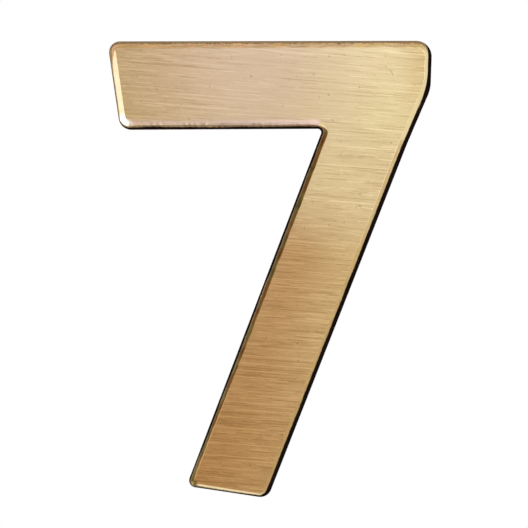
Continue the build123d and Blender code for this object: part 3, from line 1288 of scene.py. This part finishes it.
    def bevel_tone(self, at: Spot, tone: Value, streak: Value) -> Value:
        """Colour of the bevel: orange and greenish patches, dark dashes by the rim, haze.

        Args:
            at: The point.
            tone: Colour of the face there.
            streak: Fine noise about zero.

        Returns:
            The colour.
        """
        graph, x, z = at.graph, at.x, at.z
        # the edge's bevel colour from the mesh, partly painted reflection
        bevel = graph.blend(at.follow, graph.attribute("bevel", "Color"), tone)
        bloom = graph.patches((x * 0.7, z * 0.7, at.rim * 2.5 + 3.0), 2.0, 0.45, 0.65)
        bevel = graph.blend(bloom * at.patchy * 0.6, bevel, graph.times(bevel, self.flush))
        greenish = graph.patches((x * 0.4, z * 0.4 + 9.0, at.rim * 1.8), 2.0, 0.48, 0.62)
        bevel = graph.blend(greenish * at.patchy * 0.8, bevel, graph.times(bevel, self.olive))
        bevel = graph.scale(bevel, 1.0 + streak * (0.4 + at.patchy * 1.6))
        outermost = graph.fade(at.rim, 0.10, 0.40) * at.patchy
        dashed = graph.patches((x * 1.5, 5.0, z * 1.5), 3.0, 0.48, 0.55, 0.7)
        often = graph.patches((x * 0.16, 9.0, z * 0.16), 1.0, 0.35, 0.6)
        bevel = graph.blend(dashed * outermost * (0.35 + often * 0.65), bevel, self.pit)
        return graph.blend(at.haze, bevel, self.lilac)

    def worn_round(self, at: Spot, metal: Value, ragged: Value, streak: Value) -> Value:
        """Gilt the rim where it is worn round, with stain along its outer side.

        Args:
            at: The point.
            metal: Colour below.
            ragged: Fine noise about zero.
            streak: The same, finer.

        Returns:
            The colour.
        """
        graph = at.graph
        turned = graph.fade(at.rim - at.rounded * 0.8 + ragged * 0.2, -0.06, 0.06)
        turned = turned * graph.step(at.rounded, 0.3, 0.6)
        edge = graph.blend(graph.step(at.rim + ragged * 0.25, 0.02, 0.2), self.stain, self.gilt)
        return graph.blend(turned * 0.9, metal, graph.scale(edge, 1.0 + streak * 0.7))

    def stain_tone(self, at: Spot, ragged: Value, drift: Value, streak: Value) -> Value:
        """Colour of the stain: reddish brown and olive, with a rubbed line along the rim.

        Args:
            at: The point.
            ragged: Fine noise about zero.
            drift: The same, broad.
            streak: The same, finest.

        Returns:
            The colour.
        """
        graph = at.graph
        rubbed = graph.step(at.rim, 0.04, 0.11) * graph.fade(at.rim + ragged * 0.2, 0.16, 0.26)
        rubbed = rubbed * graph.step(ragged + drift, -0.3, 0.0) * (1.0 - at.lower(46.0, 55.0) * 0.8)
        blotch = graph.patches((at.x * 0.9, at.z * 0.5, at.rim * 5.0), 2.0, 0.5, 0.6)
        patch = graph.patches((0.0, 7.0, at.z * 0.3), 2.0, 0.44, 0.56)
        patch = graph.maths("MAXIMUM", patch, at.lower(49.0, 56.0))
        shade = graph.blend(patch, self.stain, self.olive_stain)
        shade = graph.scale(shade, 1.12 + drift + streak * 1.6 - blotch * 0.4)
        return graph.blend(rubbed * 0.7, shade, self.rubbed)

    def paint_border_highlight(self, at: Spot, metal: Value, ragged: Value) -> Value:
        """Paint a highlight: a light line along the face's border, on the right below the elbow."""
        graph = at.graph
        near = graph.maths("ABSOLUTE", at.border + ragged * 0.08, 0.0)
        near = graph.fade(near, 0.03, 0.14) * graph.step(at.x, 7.5, 9.0) * at.lower(7.0, 10.0)
        near = near * (1.0 - at.lower(14.0, 24.0)) * (0.7 + ragged)
        return graph.blend(near, metal, graph.times(metal, self.glint))

    def wall_colour(self, at: Spot) -> Value:
        """Colour of the oxide skin: tan and brown by the rim, black further back.

        Args:
            at: The point, whose bare value says how far down the wall the brown goes.

        Returns:
            The colour.
        """
        graph = at.graph
        drawn = graph.times(at.place, (1.0, 0.5, 1.0))
        ragged = graph.noise(drawn, 2.2, 3.0, 0.6) - 0.5
        drift = graph.noise(at.place, 0.22, 1.0) - 0.5
        black = graph.fade(at.rim + at.bare + ragged * 0.2 + drift * 0.5, -0.13, 0.09)
        fleck = graph.step(graph.noise(drawn, 3.2, 2.0, 0.6), 0.52, 0.68) * 0.6
        brown = graph.blend(graph.step(at.rim, -0.5, -0.04), self.shaded, self.worn)
        brown = graph.scale(brown, (1.0 + ragged * 1.6) * (1.0 - at.lower(46.0, 56.0) * 0.5))
        brown = graph.blend(fleck, brown, self.oxide)
        return graph.blend(black, brown, graph.scale(self.oxide, 1.0 + drift * 1.5))

    def strokes(self, at: Spot) -> Value:
        """Brushed strokes, about zero: noise drawn out along lines that fall to the right.

        Args:
            at: The point.

        Returns:
            The height of the strokes, mostly between -0.5 and 0.5.
        """
        graph, x, z = at.graph, at.x, at.z
        sway = graph.noise_at((x * 0.1, 0.0, z * 0.1), 0.0) - 0.5
        across = z + x * (self.stroke_rise + z * self.stroke_turn) + sway * self.stroke_sway
        along = x - z * self.stroke_rise
        hair = graph.noise_at((along * 0.8, 0.0, across * 5.6), 1.0, 0.6) - 0.5
        broad = graph.noise_at((along * 0.12, 8.0, across * 1.1), 1.0) - 0.5
        grain = graph.noise_at((along * 4.0, 4.0, across * 6.5), 0.0) - 0.5
        lines = hair * 0.4 + broad * 0.25 + grain * 0.3
        for dash in self.dashes:
            lines = lines + dash.shade(graph, along, across)
        broken = graph.noise_at((along * 0.9, 30.0, across * 2.2), 1.0)
        lines = lines * (0.3 + broken * 1.4)
        depth = 1.5 - graph.step(x, -26.0, -4.0) * 0.9 + graph.step(x, 8.0, 20.0) * 0.4
        depth = depth + at.lower(4.0, 16.0) * 0.6 + at.lower(20.0, 50.0) * 0.8
        depth = depth * (0.5 + graph.noise_at((x * 0.2, 16.0, z * 0.35), 1.0))
        return lines * depth + self.scratched(at)

    def scratched(self, at: Spot) -> Value:
        """The scratches, each one a soft-edged box round its middle line.

        Args:
            at: The point.

        Returns:
            The sum of their shades.
        """
        graph = at.graph
        total: Value | float = 0.0
        for scratch in self.scratches:
            turn = math.radians(scratch.degrees)
            cos, sin = math.cos(turn), math.sin(turn)
            ahead, aside = at.x - scratch.x, at.z - scratch.z
            along = graph.maths("ABSOLUTE", ahead * cos + aside * sin, 0.0)
            across = graph.maths("ABSOLUTE", aside * cos - ahead * sin, 0.0)
            inside = graph.fade(along, scratch.reach * 0.7, scratch.reach)
            inside = inside * graph.fade(across, 0.0, scratch.width)
            total = inside * (scratch.shade * self.scratch_depth) + total
        return total

    def specks(self, at: Spot) -> Value:
        """Small brown pits of uneven outline and fainter upright ticks, spread at random."""
        graph, x, z = at.graph, at.x, at.z
        warp = (graph.noise_at((x * 3.0, z * 3.0, 0.0), 1.0) - 0.5) * 0.25
        pits = self.picked_spots(graph.vector(x * 0.42 + warp, z * 0.55 - warp, 0.0), 0.82)
        ticks = self.picked_spots(graph.vector(x * 0.9 + warp, z * 0.22 + 40.0, 0.0), 0.88)
        return graph.maths("MAXIMUM", pits * 0.45, ticks * 0.28)

    def picked_spots(self, spot: Value, rarest: float) -> Value:
        """Soft spots at the middles of a few random cells, those that draw more than a number."""
        graph, flat = spot.graph, {"voronoi_dimensions": "2D"}
        cells = graph.node("ShaderNodeTexVoronoi", flat, {"Vector": spot, "Scale": 1.0})
        near = graph.fade(Value(graph, cells.outputs["Distance"]), 0.03, 0.10)
        picked = graph.dot(Value(graph, cells.outputs["Color"]), (1.0, 0.0, 0.0))
        return near * graph.step(picked, rarest, rarest + 0.13)

    def tone(self, at: Spot) -> Value:
        """Colour of the face: pinkish over the arm, yellow at the elbow, browner to the foot. Its
        lightness is partly painted reflection, brightest at the elbow and darker towards the arm's
        end and the foot.

        Args:
            at: The point.

        Returns:
            The colour.
        """
        graph, x, z = at.graph, at.x, at.z
        arm = graph.blend(graph.step(x, -32.0, -4.0), self.arm_end, self.arm)
        upper = graph.blend(graph.step(x, -4.0, 18.0), arm, self.elbow)
        upper = graph.blend(graph.step(x + z * 0.1, 16.5, 22.5), upper, self.elbow_side)
        upper = graph.blend(at.lower(5.0, 14.0), upper, self.stem)
        lower = graph.blend(at.lower(24.0, 62.0), self.lower_stem, self.foot)
        # painted light: the stem's outer side lighter
        beside = graph.step(x * 0.93 - z * 0.37, 11.0, 21.0) * (0.75 - at.lower(24.0, 56.0) * 0.5)
        lower = graph.blend(beside, lower, self.outer_side)
        whole = graph.blend(graph.step(z * -0.94 - x * 0.35, 11.0, 25.0), upper, lower)
        # painted shade below the arm, painted sheen along its top
        cast = graph.blend(graph.step(z, -7.0, 6.0), self.lower_face_painted_shade, self.arm_top_painted_sheen)
        return graph.times(whole, cast)

    def back_tone(self, at: Spot) -> Value:
        """Colour of the ground and tarnished back, with fresh metal in the tapped holes."""
        graph = at.graph
        scored = graph.noise_at((at.x * 2.4, 20.0, at.z * 0.1), 3.0, 0.6)
        cloud = graph.noise(at.place, 0.16, 3.0, 0.6)
        tarnish = graph.step(cloud + scored * 0.3, 0.45, 0.95)
        ground = graph.scale(graph.blend(tarnish, self.back, self.back_stain), 0.8 + scored * 0.4)
        deep = graph.step(graph.dot(at.place, (0.0, -1.0, 0.0)), 0.05, 0.3)
        return graph.blend(deep, ground, self.cut)


@dataclass(frozen=True)
class Lamp:
    """Flat lamp that looks at the figure and that the camera doesn't see, in metres."""

    name: str
    place: Triple
    width: float  # along the floor
    height: float
    radiance: float
    target: Triple = (0.0, 0.0, -0.028)  # the figure's middle

    def add(self) -> None:
        """Add the lamp, with the power that its radiance over its area takes."""
        data = bpy.data.lights.new(self.name, "AREA")
        data.shape = "RECTANGLE"
        data.size = self.width
        data.size_y = self.height
        data.energy = self.radiance * math.pi * self.width * self.height
        lamp = in_scene(self.name, data)
        lamp.visible_camera = False
        aim(lamp, self.place, self.target)


@dataclass(frozen=True)
class Studio:
    """Camera, lamps, floor and white background, in metres in the figure's frame."""

    camera_place: Triple = (0.026308, -0.716100, -0.024531)
    camera_target: Triple = (-0.002819, -0.0061, -0.027429)
    lens: float = 317.706
    sensor: float = 36.0
    floor_height: float = -0.25
    floor_radius: float = 1.5
    floor_sides: int = 96
    floor_fade: tuple[float, float] = (0.1, 0.4)  # from the middle, where paper turns to white
    paper: Colour = (0.9, 0.9, 0.9, 1.0)
    white: Colour = (1.0, 1.0, 1.0, 1.0)
    room_level: float = 0.9
    room_slope: Triple = (0.16, -0.12, 0.1)  # how much brighter it is to the right, front and top
    lamps: tuple[Lamp, ...] = (
        Lamp("key", (0.5, -0.5, 0.2), 0.6, 0.6, 1.1),
        Lamp("low_left", (-0.2, -0.03, -0.115), 0.14, 0.25, 1.24),
        Lamp("glint", (-0.094, -0.015, -0.108), 0.08, 0.12, 2.4),
    )

    def add_camera(self) -> None:
        """Camera at the photograph's viewing angle, upright, looking at the picture's centre."""
        data = bpy.data.cameras.new("camera")
        data.lens = self.lens
        data.sensor_width = self.sensor
        data.clip_start = 0.05
        data.clip_end = 5.0
        camera = in_scene("camera", data)
        aim(camera, self.camera_place, self.camera_target)
        bpy.context.scene.camera = camera

    def add_world(self) -> None:
        """White background, and a soft room for everything else, brighter at the right front."""
        world = bpy.data.worlds.new("studio")
        bpy.context.scene.world = world
        world.use_nodes = True
        graph = Graph(world.node_tree)
        direction = graph.value("ShaderNodeTexCoord", {}, {}, "Generated")
        level = self.room_level + graph.dot(direction, self.room_slope)
        room, white = (
            graph.value("ShaderNodeBackground", {}, {"Color": self.white, "Strength": strength})
            for strength in (level, 1.0)
        )
        both = graph.value("ShaderNodeMixShader", {}, {0: self.seen(graph), 1: room, 2: white})
        graph.node("ShaderNodeOutputWorld", {}, {"Surface": both})

    def seen(self, graph: Graph) -> Value:
        """1 for rays that show the background: the camera's, reflected and refracted ones."""
        path = graph.node("ShaderNodeLightPath", {}, {}).outputs
        rays = ("Is Camera Ray", "Is Glossy Ray", "Is Transmission Ray")
        camera, glossy, through = (Value(graph, path[name]) for name in rays)
        return camera + glossy + through

    def add_floor(self) -> None:
        """Pale round floor below the figure, which goes over into the white background.

        From below it is clear, so that it never hides the figure.
        """
        turns = np.linspace(0.0, 2.0 * np.pi, self.floor_sides, endpoint=False)
        rim = np.stack([np.cos(turns), np.sin(turns)], axis=1) * self.floor_radius
        points = np.column_stack([rim, np.full(turns.size, self.floor_height)])
        data = bpy.data.meshes.new("floor")
        data.from_pydata(points, [], [list(range(turns.size))])
        floor = in_scene("floor", data)
        made = bpy.data.materials.new("floor_paper")
        made.use_nodes = True
        graph = Graph(made.node_tree)
        place = graph.value("ShaderNodeTexCoord", {}, {}, "Object")
        away = graph.length(graph.times(place, (1.0, 1.0, 0.0)))
        faded = graph.step(away, *self.floor_fade) * self.seen(graph)
        side = Value(graph, graph.node("ShaderNodeNewGeometry", {}, {}).outputs["Backfacing"])
        paper = graph.value("ShaderNodeBsdfDiffuse", {}, {"Color": self.paper})
        white = graph.value("ShaderNodeEmission", {}, {"Strength": 1.0})
        clear = graph.value("ShaderNodeBsdfTransparent", {}, {})
        above = graph.value("ShaderNodeMixShader", {}, {0: faded, 1: paper, 2: white})
        both = graph.value("ShaderNodeMixShader", {}, {0: side, 1: above, 2: clear})
        graph.node("ShaderNodeOutputMaterial", {}, {"Surface": both})
        data.materials.append(made)

    def build(self) -> None:
        """Add the camera, the world, the floor and the lamps."""
        self.add_camera()
        self.add_world()
        self.add_floor()
        for lamp in self.lamps:
            lamp.add()
        bpy.context.scene.view_settings.view_transform = "Standard"


def main() -> None:
    """Build the figure and the studio, and report each."""
    logging.basicConfig(level=logging.INFO, format="%(name)s: %(message)s")
    seven = Numeral().build()
    seven.data.materials.append(AgedBrass().material())
    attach(seven, "root")
    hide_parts(NODE)
    log.info("seven: %d points, %d faces", len(seven.data.vertices), len(seven.data.polygons))
    Studio().build()
    log.info("studio: camera, lamps and floor")


if __name__ == "__main__":
    main()
